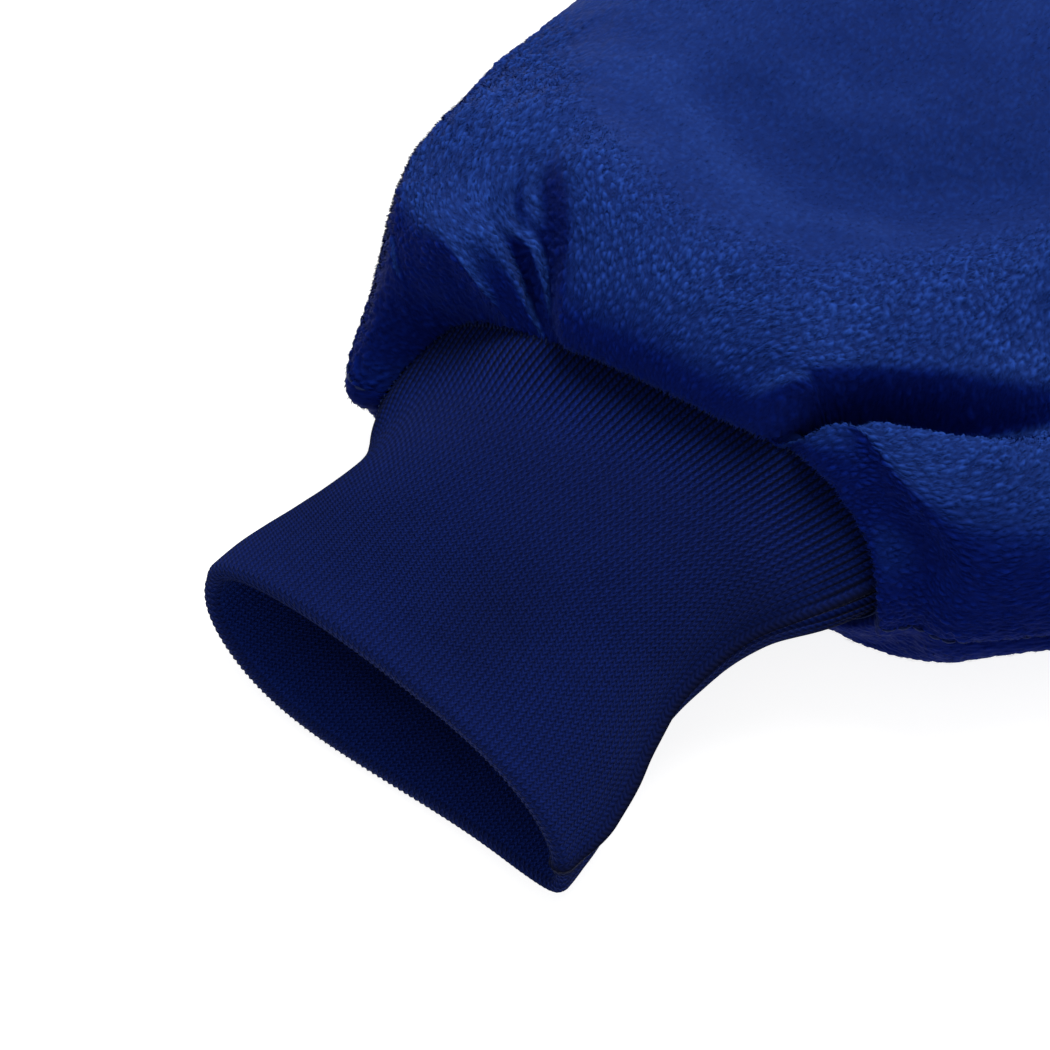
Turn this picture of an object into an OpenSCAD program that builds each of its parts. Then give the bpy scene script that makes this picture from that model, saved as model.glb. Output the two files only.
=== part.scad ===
// Plush wash mitt with a folded rib-knit cuff.
// A padded, lined bag of pile fabric, gathered into an elastic rib cuff.
// It lies on its palm: +Z up, +Y from the cuff's mouth to the fingertip end.

/* [Body] */
// Width of the plush body at its widest
body_w = 186; // [170:2:200]
// Length of the plush body, from the cuff seam to the tip
body_len = 204; // [190:2:220]
// Height of the crown above the side seam, just past the cuff
crown_h = 38; // [36:1:42]
// Height of the top face above the side seam, over the fingers
finger_h = 31; // [29:1:34]
// Height of the side seam above the table
side_z = 24; // [22:1:26]
// Length of the rounded fingertip end
tip_len = 88; // [70:1:100]
// How far the body's middle lies to the right of the cuff's
body_shift = 5; // [0:1:8]

/* [Layers] */
// Thickness of the plush: knitted ground and pile
plush_t = 7; // [6:0.5:8]
// Thickness of each wadding pad
wadding_t = 3; // [2.5:0.5:3.5]
// Thickness of the lining cloth
lining_t = 0.8; // [0.6:0.1:1]
// Space between two layers, where the seam threads lie
layer_gap = 1.2; // [1.1:0.1:1.3]

/* [Cuff] */
// Width of the cuff at its mouth
mouth_w = 98; // [94:1:102]
// Height of the cuff at its mouth
mouth_h = 31; // [28:1:34]
// Width of the cuff at its waist
waist_w = 78; // [74:1:84]
// Width of the cuff where the plush is sewn on
neck_w = 94; // [92:1:98]
// Height of the cuff where the plush is sewn on
neck_h = 42; // [40:1:44]
// Length of the cuff along its middle
cuff_len = 70; // [66:1:74]
// Thickness of one layer of rib knit
rib_t = 1.5; // [1.3:0.1:1.7]
// Space between the two legs of the folded cuff
fold_gap = 0.9; // [0.8:0.1:1]
// Length of the raw edges turned into the body
allowance = 8; // [7:1:9]
// How far the right side of the neck lies ahead of the left, per mm of width
neck_slant = 0.40; // [0.3:0.01:0.42]

/* [Threads] */
// Diameter of the sewing thread
thread_d = 0.5; // [0.4:0.05:0.6]
// Length of one stitch
stitch = 4; // [3:0.5:5]

/* [Hidden] */

// The lower lip of the mouth lies ahead of the upper one, and the left of it ahead of the right
lip_back = 5;
mouth_slant = 0.07;
// How far the lower lip reaches ahead of mouth_y
lip_reach = max([for (a = [180:2:360]) -lip_back * (1 - pow(abs(sin(a)), 2 / 2.3))
    - mouth_slant * mouth_w / 2 * sign(cos(a)) * pow(abs(cos(a)), 2 / 2.3)]);
// Overall length, and the y of the cuff's mouth and of the neck seam's middle
total_len = cuff_len + body_len;
mouth_y = -total_len / 2 + lip_reach / 2;
neck_y = mouth_y + cuff_len;
// Height of the middle of the mouth and of the neck
mouth_z = mouth_h / 2;
neck_z = plush_t + neck_h / 2 + 1;
// The whole wall of the folded cuff: two legs and the space between them
cuff_wall = 2 * rib_t + fold_gap;
// Depth below the outer face at which each inner layer starts
wadding_d = plush_t + layer_gap;
lining_d = wadding_d + wadding_t + layer_gap;
// How far the plush rolls back over the cuff, and outwards before it runs on
roll_back = 5;
roll_out = 10;
// Distance over which the flare past the neck and the slant of the neck die away
flare_len = 55;
slant_len = 60;
// Clearance between the plush and the cuff it is sewn to
neck_gap = 0.4;
// Half of the parting between the back and palm panels
parting = 0.1;
// Squareness of the ovals: 2 is an ellipse
cuff_n = 2.3;
back_n = 2.3;
palm_n = 3.4;
tip_n = 2.3;
// Points round half an oval, and round the cuff
half_n = 22;
cuff_sides = 44;

function ease(t) = let(c = min(1, max(0, t))) c * c * (3 - 2 * c);
function mix(a, b, t) = a + (b - a) * t;
function power(v, n) = sign(v) * pow(abs(v), 2 / n);

// ---- The body's shape ----
// A ring is [half width, height over the side line, depth under it, height of the side line, y, slant,
// squareness of the palm's half, x of its middle].
function tip_round(s, len) = let(u = max(0, s - (len - tip_len)) / tip_len)
    pow(max(0, 1 - pow(u, tip_n)), 1 / tip_n);
function flare(s) = ease(s / flare_len);
function crown(s) = neck_h / 2 + roll_out + (crown_h - neck_h / 2 - roll_out) * ease(s / 20)
    - (crown_h - finger_h) * ease((s - 25) / 70);
function side_line(s) = mix(neck_z, side_z, ease(s / 40));
function slant(s) = neck_slant * (1 - ease(s / slant_len));

// The body's ring s mm past the neck, taken in by d. The tip comes in by d too.
function body_ring(s, d) =
    let(len = body_len - d,
        round_off = max(0.04, tip_round(s, len)),
        half_w = neck_w / 2 + roll_out + (body_w / 2 - neck_w / 2 - roll_out) * flare(s))
    [(half_w - d) * round_off, (crown(s) - d) * round_off,
     (side_line(s) * 1.08 - d) * round_off, side_line(s), neck_y + s, slant(s),
     mix(cuff_n, palm_n, ease(s / 30)), body_shift * (ease(s / 50) - 1)];

// A ring round the neck: out is how far it stands out from the cuff, s how far it is past the neck.
function neck_ring(s, out) =
    [neck_w / 2 + out, neck_h / 2 + out, neck_h / 2 + min(out, 6), neck_z, neck_y + s, neck_slant, cuff_n, -body_shift];

// The point at angle a on a ring. Nothing goes under the floor height.
function on_ring(r, a, floor_z) =
    let(c = cos(a), up = a <= 180, n = up ? back_n : r[6], x = r[0] * power(c, n),
        rise = pow(abs(sin(a)), 2 / n))
    [r[7] + x, r[4] + r[5] * x,
     max(floor_z, up ? r[3] + parting + r[1] * rise : r[3] - parting - r[2] * rise)];

// Where the rings lie along the body, closer together at the tip's rounding
function stations(from, d) =
    let(len = body_len - d)
    concat([for (i = [0:7]) mix(from, len - tip_len, i / 8)],
           [for (i = [0:8]) len - tip_len + tip_len * sin(i * 90 / 8)]);

// Rings of the plush's outer face: it rolls back over the cuff, then runs to the tip
function plush_outer() = concat(
    [for (a = [0:45:180]) neck_ring(1 - roll_back * sin(a), neck_gap + roll_out / 2 * (1 - cos(a)))],
    [for (s = stations(6, 0)) body_ring(s, 0)]);
function layer_rings(first, d) = concat([first], [for (s = stations(first[4] - neck_y + 6, d)) body_ring(s, d)]);

// ---- Solids between two sets of rings ----
function grid(rings, from, floor_z) =
    [for (r = rings) [for (j = [0:half_n]) on_ring(r, from + j * 180 / half_n, floor_z)]];
function flat_list(g) = [for (row = g, p = row) p];

// Half a shell: the back when from is 0, the palm when it is 180
module half_shell(outer, inner, from, outer_floor, inner_floor) {
    o = grid(outer, from, outer_floor);
    i = grid(inner, from, inner_floor);
    w = half_n + 1;
    no = len(o);
    ni = len(i);
    base = no * w;
    // Both rows of rings meet in strips along the two side seams, so the longer one's spare rings share an end
    function out_at(k) = min(k, no - 1) * w;
    function in_at(k) = base + min(k, ni - 1) * w;
    outer_faces = [for (k = [0:no - 2], j = [0:half_n - 1], f = [0, 1])
        f == 0 ? [k * w + j, (k + 1) * w + j, (k + 1) * w + j + 1]
               : [k * w + j, (k + 1) * w + j + 1, k * w + j + 1]];
    inner_faces = [for (k = [0:ni - 2], j = [0:half_n - 1], f = [0, 1])
        f == 0 ? [base + k * w + j, base + (k + 1) * w + j + 1, base + (k + 1) * w + j]
               : [base + k * w + j, base + k * w + j + 1, base + (k + 1) * w + j + 1]];
    neck_faces = [for (j = [0:half_n - 1], f = [0, 1])
        f == 0 ? [j, j + 1, base + j + 1] : [j, base + j + 1, base + j]];
    lead = no - ni;
    side_faces = [for (k = [0:no - 2], e = [0, half_n], f = [0, 1])
        let(a = k * w + e, b = (k + 1) * w + e, p = in_at(max(0, k - lead)) + e, q = in_at(max(0, k + 1 - lead)) + e,
            tri = f == 0 ? [a, p, q] : [a, q, b])
        if (!(f == 0 && p == q)) e == 0 ? tri : [tri[0], tri[2], tri[1]]];
    tip_outer = [for (j = [1:half_n - 1]) [(no - 1) * w, (no - 1) * w + j + 1, (no - 1) * w + j]];
    tip_inner = [for (j = [1:half_n - 1]) let(t = base + (ni - 1) * w) [t, t + j, t + j + 1]];
    t0 = (no - 1) * w;
    t1 = base + (ni - 1) * w;
    tip_seam = [[t0, t1, t1 + half_n], [t0, t1 + half_n, t0 + half_n]];
    polyhedron(concat(flat_list(o), flat_list(i)),
        concat(outer_faces, inner_faces, neck_faces, side_faces, tip_outer, tip_inner, tip_seam),
        convexity = 8);
}

plush_inner_first = neck_ring(7, neck_gap);
module back_plush() color([0.13, 0.23, 0.50])
    half_shell(plush_outer(), layer_rings(plush_inner_first, plush_t), 0, 0, plush_t);
module palm_plush() color([0.10, 0.19, 0.44])
    half_shell(plush_outer(), layer_rings(plush_inner_first, plush_t), 180, 0, plush_t);

// A wadding pad starts just past the plush's turned edge, and lies under it to the tip
module wadding(from) {
    first_out = neck_ring(7 + layer_gap, neck_gap + 1.2);
    first_in = neck_ring(7 + layer_gap + wadding_t, neck_gap + 1.2);
    half_shell(layer_rings(first_out, wadding_d), layer_rings(first_in, wadding_d + wadding_t),
        from, wadding_d, wadding_d + wadding_t);
}
module back_wadding() color("white") wadding(0);
module palm_wadding() color("white") wadding(180);

// The lining is sewn in with the cuff's raw edges, so it starts inside them
module lining(from) {
    first_out = neck_ring(allowance - 6, -cuff_wall - 0.3);
    second_out = neck_ring(allowance + 1.5, -cuff_wall - 0.3);
    first_in = neck_ring(allowance - 6, -cuff_wall - 0.3 - lining_t);
    second_in = neck_ring(allowance + 1.5 + lining_t, -cuff_wall - 0.3 - lining_t);
    half_shell(concat([first_out], layer_rings(second_out, lining_d)),
        concat([first_in], layer_rings(second_in, lining_d + lining_t)),
        from, lining_d, lining_d + lining_t);
}
module back_lining() color([0.10, 0.15, 0.35]) lining(0);
module palm_lining() color([0.10, 0.15, 0.35]) lining(180);

// ---- The cuff ----
// A ring of the cuff's outer face: t is 0 at the mouth, 1 at the neck seam, and more in the raw edge.
function cuff_half_w(t) = t < 1 ? mix(mix(mouth_w, waist_w, ease(t / 0.8)), neck_w, ease((t - 0.6) / 0.4)) / 2
    : neck_w / 2;
function cuff_point(t, a, inset) =
    let(u = min(1, t), c = power(cos(a), cuff_n), s = power(sin(a), cuff_n),
        x = (cuff_half_w(t) - inset) * c,
        lip = lip_back * (1 - ease(t / 0.6)),
        half_h = mix(mouth_h, neck_h, ease(u)) / 2 - inset)
    [x - body_shift, mouth_y + lip + t * cuff_len + x * mix(mouth_slant, neck_slant, ease(u * 1.1)) + lip * s,
     mix(mouth_z, neck_z, ease(u)) + half_h * s];

// The fold's outline: down the outer leg, round the fold, up the inner leg, and back inside. [t, inset]
end_t = 1 + allowance / cuff_len;
leg_t = [end_t, 1, 0.85, 0.7, 0.55, 0.4, 0.25, 0.1];
fold_r = cuff_wall / 2;
gap_r = fold_gap / 2;
function fold_arc(r) = [for (a = [-60:30:60]) [(fold_r - r * cos(a)) / cuff_len, fold_r + r * sin(a)]];
fold_outline = concat(
    [for (t = leg_t) [t, 0]], fold_arc(fold_r), [for (k = [7:-1:0]) [leg_t[k], cuff_wall]],
    [for (t = leg_t) [t, cuff_wall - rib_t]], [for (k = [4:-1:0]) fold_arc(gap_r)[k]],
    [for (k = [7:-1:0]) [leg_t[k], rib_t]]);

module rib_cuff() color([0.05, 0.10, 0.30]) {
    n = len(fold_outline);
    points = [for (j = [0:cuff_sides - 1], p = fold_outline) cuff_point(p[0], j * 360 / cuff_sides, p[1])];
    faces = [for (j = [0:cuff_sides - 1], k = [0:n - 1], f = [0, 1])
        let(a = j * n + k, b = j * n + (k + 1) % n,
            c = ((j + 1) % cuff_sides) * n + (k + 1) % n, d = ((j + 1) % cuff_sides) * n + k)
        f == 0 ? [a, b, c] : [a, c, d]];
    polyhedron(points, faces, convexity = 10);
}

// ---- Threads ----
// A run of stitches through a list of points, each a short length of thread
module stitches(points, closed = false) {
    last = len(points) - (closed ? 1 : 2);
    for (k = [0:last]) {
        a = points[k];
        d = points[(k + 1) % len(points)] - a;
        length = norm(d);
        translate(a + d * 0.06) rotate([0, acos(d[2] / length), atan2(d[1], d[0])])
            cylinder(h = length * 0.88, d = thread_d, $fn = 16);
    }
}

// The tube's closing seam lies between the two legs, low on the right side
closing_angle = -12;
module cuff_closing_stitches() color([0.04, 0.07, 0.22]) {
    count = round(cuff_len / stitch);
    stitches([for (k = [1:count]) cuff_point(mix(0.08, end_t, k / (count + 1)), closing_angle, cuff_wall / 2)]);
}

// The neck seam holds plush, cuff and lining together, just past the raw edges
module neck_seam_stitches() color([0.04, 0.07, 0.22]) {
    count = round(PI * (neck_w + neck_h) / 2 / stitch);
    t = end_t + 0.6 / cuff_len;
    stitches([for (k = [0:count - 1]) cuff_point(t, k * 360 / count, cuff_wall / 2)], closed = true);
}

// A seam's run down one side, round the tip and up the other, at depth d in the gap between two layers
module perimeter_seam(d, first) {
    reach = body_len - d;
    right = [for (s = [first:stitch:reach - tip_len]) s];
    tip_steps = round(tip_len * 1.25 / stitch);
    round_tip = [for (k = [1:tip_steps - 1]) reach - tip_len + tip_len * sin(k * 90 / tip_steps)];
    run = [for (s = concat(right, round_tip)) let(r = body_ring(s, d)) [r[7] + r[0], r[4] + r[5] * r[0], r[3]]];
    other = [for (s = concat(right, round_tip)) let(r = body_ring(s, d)) [r[7] - r[0], r[4] - r[5] * r[0], r[3]]];
    stitches(concat(run, [for (k = [len(other) - 1:-1:0]) other[k]]));
}
module side_seam_stitches() color([0.04, 0.07, 0.22]) perimeter_seam(plush_t + layer_gap / 2, 18);
module lining_seam_stitches() color([0.04, 0.07, 0.22]) perimeter_seam(lining_d - layer_gap / 2, 24);

back_plush();
palm_plush();
back_wadding();
palm_wadding();
back_lining();
palm_lining();
rib_cuff();
cuff_closing_stitches();
neck_seam_stitches();
side_seam_stitches();
lining_seam_stitches();
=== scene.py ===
import math

import bpy
import numpy as np
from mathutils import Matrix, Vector


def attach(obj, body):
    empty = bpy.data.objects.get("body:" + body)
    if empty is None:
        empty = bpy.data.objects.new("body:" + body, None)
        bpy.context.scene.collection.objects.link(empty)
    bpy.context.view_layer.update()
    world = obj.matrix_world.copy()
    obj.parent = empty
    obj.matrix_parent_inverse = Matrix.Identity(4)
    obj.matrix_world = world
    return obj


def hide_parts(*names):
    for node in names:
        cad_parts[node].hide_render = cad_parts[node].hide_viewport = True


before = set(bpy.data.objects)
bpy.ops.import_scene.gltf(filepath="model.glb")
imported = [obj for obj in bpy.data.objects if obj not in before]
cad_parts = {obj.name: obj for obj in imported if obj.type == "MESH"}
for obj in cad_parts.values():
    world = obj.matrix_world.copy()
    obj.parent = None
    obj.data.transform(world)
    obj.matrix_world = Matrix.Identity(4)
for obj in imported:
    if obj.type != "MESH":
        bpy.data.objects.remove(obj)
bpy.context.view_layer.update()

# ---- Camera ----
# A long lens held high over the right side of the cuff's open end.
# It looks steeply down on the gathered neck, and the body runs out of its view.
camera_turn, camera_tilt = math.radians(44), math.radians(60)
aim_at = Vector((-0.0084, -0.0892, 0.0374))
camera_far = 0.7
toward_camera = Vector((math.sin(camera_turn) * math.cos(camera_tilt),
                        -math.cos(camera_turn) * math.cos(camera_tilt),
                        math.sin(camera_tilt)))
camera = bpy.data.objects.new("camera", bpy.data.cameras.new("camera"))
camera.data.angle = math.radians(16.3)
camera.data.clip_start, camera.data.clip_end = 0.01, 20
camera.location = aim_at + camera_far * toward_camera
camera.rotation_euler = toward_camera.to_track_quat("Z", "Y").to_euler()
bpy.context.scene.collection.objects.link(camera)
bpy.context.scene.camera = camera

# ---- Floor and studio light ----
# A plain pale table in a white room, lit so that it stays nearly white round the mitt.
# One broad soft lamp hangs overhead and behind, and a weak one stands at the left.
floor_reach, floor_z = 3, -0.0003
floor_corners = [(-floor_reach, -floor_reach, floor_z), (floor_reach, -floor_reach, floor_z),
                 (floor_reach, floor_reach, floor_z), (-floor_reach, floor_reach, floor_z)]
floor_mesh = bpy.data.meshes.new("floor")
floor_mesh.from_pydata(floor_corners, [], [(0, 1, 2, 3)])
floor = bpy.data.objects.new("floor", floor_mesh)
bpy.context.scene.collection.objects.link(floor)
pale = bpy.data.materials.new("pale_table")
pale.use_nodes = True
pale_bsdf = pale.node_tree.nodes["Principled BSDF"]
pale_bsdf.inputs["Base Color"].default_value = (0.4, 0.4, 0.4, 1)
pale_bsdf.inputs["Roughness"].default_value = 0.9
pale_bsdf.inputs["Emission Color"].default_value = (1, 1, 1, 1)
pale_bsdf.inputs["Emission Strength"].default_value = 0.85
floor_mesh.materials.append(pale)
room = bpy.data.worlds.new("white_room")
room.use_nodes = True
room.node_tree.nodes["Background"].inputs["Color"].default_value = (1, 1, 1, 1)
room.node_tree.nodes["Background"].inputs["Strength"].default_value = 0.55
bpy.context.scene.world = room
bpy.context.scene.view_settings.view_transform = "Standard"


def soft_lamp(name, place, target, power, size):
    lamp = bpy.data.objects.new(name, bpy.data.lights.new(name, "AREA"))
    lamp.data.energy = power
    lamp.data.size = size
    lamp.location = place
    lamp.rotation_euler = (Vector(place) - Vector(target)).to_track_quat("Z", "Y").to_euler()
    bpy.context.scene.collection.objects.link(lamp)


soft_lamp("overhead_lamp", (-0.25, 0.7, 1.4), (0, -0.05, 0.03), 26, 1.0)
soft_lamp("left_lamp", (-1.4, -0.2, 0.7), (0, -0.05, 0.03), 2, 0.8)

# ---- Plush body ----
# Two panels of plush, a knit ground with dense combed pile, sewn round the edge and gathered into the cuff.
# The back panel puffs up in three soft lobes past the cuff, parted by a flat pleat and one deep crease.
# All lengths in these sections are in millimetres, in the frame's own axes.
cuff_x = -5.0
mouth_y, neck_y = -136.4, -66.4
neck_half_w, neck_half_h, neck_z = 47.0, 21.0, 29.0
neck_lean, neck_right = 0.40, 1.14
body_half_w, body_len, tip_len = 93.0, 204.0, 88.0
side_z, crown_h, finger_h = 24.0, 38.0, 31.0
cloth_square, palm_square = 2.3, 3.4
roll_end = 15.0
ground_t, ground_sunk = 6.0, 3.0
cage_columns = 201
tuft_w, tuft_stretch = 0.95, 2.5
fibre_len = 1.15


def ease(t):
    t = np.clip(t, 0, 1)
    return t * t * (3 - 2 * t)


def mixed(a, b, t):
    return a + (b - a) * t


def unit(v):
    return v / np.maximum(np.linalg.norm(v, axis=-1, keepdims=True), 1e-9)


def neck_push(x, z):
    """How far behind its plain slanting ring the neck seam lies: most at the top left, least at the right."""
    left = 1 - ease((x + 48) / 24)
    top = mixed(14.5, 9, ease((x + 30) / 50)) + 3 * left
    return top * ease((z - 31 + 5 * left) / (17 - 3 * left)) - 5.5 * ease((x - 20) / 26)


def oval_half(wide, high, side, y, lean, mid, n, up, floor, count, fan=0.0, right=1.0):
    """The upper or lower half of an oval ring, from right to left, with its points at even steps."""
    turn = np.linspace(0, math.pi, 241)
    x = wide * np.sign(np.cos(turn)) * np.abs(np.cos(turn)) ** (2 / n)
    x = np.where(x > 0, x * right, x)
    rise = high * np.abs(np.sin(turn)) ** (2 / n)
    z = side + rise if up else np.maximum(side - rise, floor)
    run = np.concatenate([[0], np.cumsum(np.hypot(np.diff(x), np.diff(z)))])
    at = np.linspace(0, 1, count)
    at = (at + fan * (at - 0.5) * (1 - (2 * at - 1) ** 2)) * run[-1]
    x, z = np.interp(at, run, x), np.interp(at, run, z)
    lean = mixed(lean[0], lean[1], ease(0.5 + x / 90))
    return np.stack([mid + x, y + lean * x, z], -1)


def neck_ring(out, up, count):
    """The back (up) or palm half of the neck seam's ring, widened by out."""
    ring = oval_half(neck_half_w + out, neck_half_h + out, neck_z, neck_y, (neck_lean, neck_lean),
                     cuff_x, cloth_square, up, 0, count, right=neck_right)
    ring[:, 1] += neck_push(ring[:, 0], ring[:, 2])
    return ring


def half_ring(s, depth, up, count):
    """The back (up) or palm half of the body's ring at s past the neck, depth under the pile."""
    length = body_len - depth
    u = max(0.0, s - (length - tip_len)) / tip_len
    closing = max(0.03, max(0.0, 1 - min(1, u) ** 2.3) ** (1 / 2.3))
    side = mixed(neck_z, side_z, ease(s / 40))
    wide = (neck_half_w + 10 + (body_half_w - neck_half_w - 10) * ease(s / 55) - depth) * closing
    crown = neck_half_h + 10 + (crown_h - neck_half_h - 10) * ease(s / 20)
    crown -= (crown_h - finger_h) * ease((s - 25) / 70)
    high = ((crown if up else side * 1.08) - depth) * closing
    palm_n = mixed(cloth_square - 0.45 * ease((s - 15) / 20), palm_square, ease((s - 75) / 50))
    n = cloth_square if up else palm_n
    lean = neck_lean * (1 - ease(s / 60)), neck_lean * (1 - ease(s / 24))
    mid = cuff_x * (1 - ease(s / 50))
    right = 1 - 0.05 * math.exp(-((s - 38) / 20) ** 2)
    fan = 0.35 * float(ease(s / 30))
    ring = oval_half(wide, high, side, neck_y + s, lean, mid, n, up, depth, count, fan, right)
    ring[:, 0] -= 3 * math.exp(-((s - 24) / 14) ** 2) * ease((-30 - ring[:, 0]) / 30)
    push = neck_push(ring[:, 0], ring[:, 2]) * (1 - ease((s - 10) / 40))
    ring[:, 1] += push * mixed(0.45, 1, ease((ring[:, 0] + 56) / 18))
    return ring


def from_line(x, y, line):
    """How far plan points are from a line of points, and the line's own height abreast of them."""
    line = np.array(line, float)
    best = np.full(x.shape, 1e9)
    level = np.zeros(x.shape)
    for a, b in zip(line[:-1], line[1:]):
        d = b - a
        t = np.clip(((x - a[0]) * d[0] + (y - a[1]) * d[1]) / (d[:2] @ d[:2]), 0, 1)
        dist = np.hypot(x - a[0] - t * d[0], y - a[1] - t * d[1])
        near = dist < best
        best = np.where(near, dist, best)
        level = np.where(near, a[2] + t * d[2], level)
    return best, level


# Each fold has a line over the plan with the cloth's height there, a width, and how square its sides are.
# A lobe's crest lifts the cloth, and a crease or a pleat draws it down.
crests = [
    ([(-58, -32, 62), (-46, -35, 67), (-30, -38, 68), (-11, -36, 68), (6, -30, 67), (21, -6, 64),
      (32, 18, 63)], 15, 2),
    ([(-76, -50, 51), (-68, -58, 58), (-58, -61, 62), (-47, -58, 63)], 12, 2),
    ([(-50, -52, 60), (-62, -44, 60), (-74, -34, 54)], 9, 2),
    ([(27, -43, 56), (37, -34, 53), (47, -27, 51), (61, -14, 49)], 9, 2),
]
creases = [
    ([(17, -58, 50), (20, -47, 45), (26, -36.5, 41), (35, -27, 40), (45, -18.5, 41), (57, -5.5, 46)],
     2.6, 1.8),
    ([(-29, -70, 50), (-34.5, -61.5, 54), (-42.5, -52.5, 58), (-51.5, -44.5, 61), (-63.5, -32.5, 60)],
     5.4, 4),
    ([(-34, -70, 47), (-40, -61, 50), (-48, -52.5, 54), (-56.5, -43.5, 58), (-67.5, -31.5, 58)],
     1.9, 1.3),
    ([(-26, -69, 49), (-32.5, -60.5, 52), (-40.5, -52, 56), (-49.5, -43.5, 59), (-61.5, -32.5, 61)],
     1.3, 1.4),
]
# Behind the lobes the cloth rises to a soft rim and sinks into a shallow valley past it.
valley_rim = [(-69, -5, 0), (-54, -4, 0), (-40, -8, 0), (-25, -12, 0), (-11, -12, 0), (2, -5, 0)]
valley = [(-38, 5, 0), (-25, 1, 0), (-11, 1, 0), (2, 9, 0), (12, 22, 0)]


def folded(p, depth, sunk):
    """Lifts the crests and draws down the creases of the back panel, or of a layer under it."""
    x, y, z = p[..., 0], p[..., 1], p[..., 2]
    free = ease((z + depth - side_z - 6) / 8)
    for line, width, power in crests:
        dist, level = from_line(x, y, line)
        z = z + np.maximum(0, level - depth - z) * np.exp(-(dist / width) ** power) * free
    z = z + 1.2 * np.exp(-(from_line(x, y, valley_rim)[0] / 5) ** 2)
    z = z - 4.0 * np.exp(-(from_line(x, y, valley)[0] / 10) ** 2)
    # The right lobe lies lower than the middle one.
    past = (x - 21) * 0.73 - (y + 47) * 0.68
    z = z - 0.5 * ease(past / 11) * (1 - ease((y + 8) / 26)) * free
    for line, width, power in creases:
        dist, level = from_line(x, y, line)
        z = z + np.minimum(0, level - sunk - z) * np.exp(-(dist / width) ** power) * free
    return np.stack([x, y, z], -1)


def body_rows(up, count, depth=0.0, sunk=0.0):
    """A panel in rows from the neck seam: a roll over the cuff's end, the body, and the rounded tip."""
    flat = body_len - depth - tip_len
    places = list(np.linspace(roll_end, flat, 60)[:-1])
    places += [flat + tip_len * math.sin(math.radians(k)) for k in np.linspace(0, 90, 34)]
    rings = np.array([half_ring(s, depth, up, count) for s in places])
    if up:
        rings = folded(rings, depth, sunk)
    seam = neck_ring(0.5 + depth / 4, up, count)
    seam[:, 1] += depth / 2
    # The lobes' fronts bulge and hang over the cuff; between them the cloth runs down straight.
    plump = np.ones(count)
    if up:
        plump -= 0.95 * np.exp(-((seam[:, 0] + 31) / 5.5) ** 4)
        plump -= 0.8 * np.exp(-((seam[:, 0] - 19) / 3.5) ** 2)
    plump = plump[:, None]
    hang = 9 + 4 * ease((seam[:, :1] - 34) / 12) - 8 * np.exp(-((seam[:, :1] + 41) / 6) ** 2)
    hang = hang * (1 - depth / 14) * mixed(1, 0.4, ease((neck_z - 2 - seam[:, 2:]) / 4))
    x, z = seam[:, 0] - cuff_x, seam[:, 2] - neck_z
    sideways = 0.7 * x * np.abs(x) ** 0.3 / neck_half_w ** 2.3
    upward = z * np.abs(z) ** 0.3 / neck_half_h ** 2.3
    outward = unit(np.stack([sideways, 0 * x, upward], -1))
    swell = 9 + 8 * ease((-34 - seam[:, :1]) / 8) * ease(z[:, None] / 10) - 4 * ease((-2 - z[:, None]) / 6)
    swell -= 4 * ease((seam[:, :1] - 24) / 12)
    bulge = outward * swell * (1 - depth / 20) + np.array([0, -1, 0]) * hang
    span = np.linalg.norm(rings[0] - seam, axis=1, keepdims=True)
    back = rings[1] - rings[0]
    back[:, 2] *= 1 - 0.8 * ease((seam[:, 0] - 20) / 10)
    back *= 0.48 * span / np.linalg.norm(back, axis=1, keepdims=True)
    seam_pull = seam + mixed((rings[0] - seam) / 3, bulge, plump)
    body_pull = rings[0] - mixed((rings[0] - seam) / 3, back, mixed(0.5, 1.0, plump))
    t = np.linspace(0, 1, 26)[:-1, None, None]
    roll = (1 - t) ** 3 * seam + 3 * t * (1 - t) ** 2 * seam_pull
    roll = roll + 3 * t * t * (1 - t) * body_pull + t ** 3 * rings[0]
    roll[..., 2] = np.maximum(roll[..., 2], depth)
    return np.concatenate([roll, rings])


def softened(grid, times):
    """Evens out the rows, with the seam and the tip held."""
    for _ in range(times):
        g = grid.copy()
        g[1:-1] = 0.5 * grid[1:-1] + 0.25 * (grid[2:] + grid[:-2])
        grid = g
    return grid


def normals_of(grid):
    """Upward normals at a grid's points."""
    return unit(np.cross(np.gradient(grid, axis=0), np.gradient(grid, axis=1)))


def fine_line(count_in, at):
    """Cubic spline weights: at, places along count_in control points, as a matrix."""
    i = np.minimum(at.astype(int), count_in - 2)
    f = at - i
    second = 3 * f ** 3 - 6 * f ** 2 + 4
    third = -3 * f ** 3 + 3 * f ** 2 + 3 * f + 1
    w = np.stack([(1 - f) ** 3, second, third, f ** 3], -1) / 6
    m = np.zeros((len(at), count_in + 2))
    for k in range(4):
        m[np.arange(len(at)), i + k] += w[:, k]
    # The line runs on straight past both ends.
    m[:, 1] += 2 * m[:, 0]
    m[:, 2] -= m[:, 0]
    m[:, -2] += 2 * m[:, -1]
    m[:, -3] -= m[:, -1]
    return m[:, 1:-1]


def refined(grid, row_at, col_at):
    """A finer grid, by splines through a coarse one's rows and columns."""
    rows, cols = fine_line(grid.shape[0], row_at), fine_line(grid.shape[1], col_at)
    return np.einsum("ri,ijk,cj->rck", rows, grid, cols, optimize=True)


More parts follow.
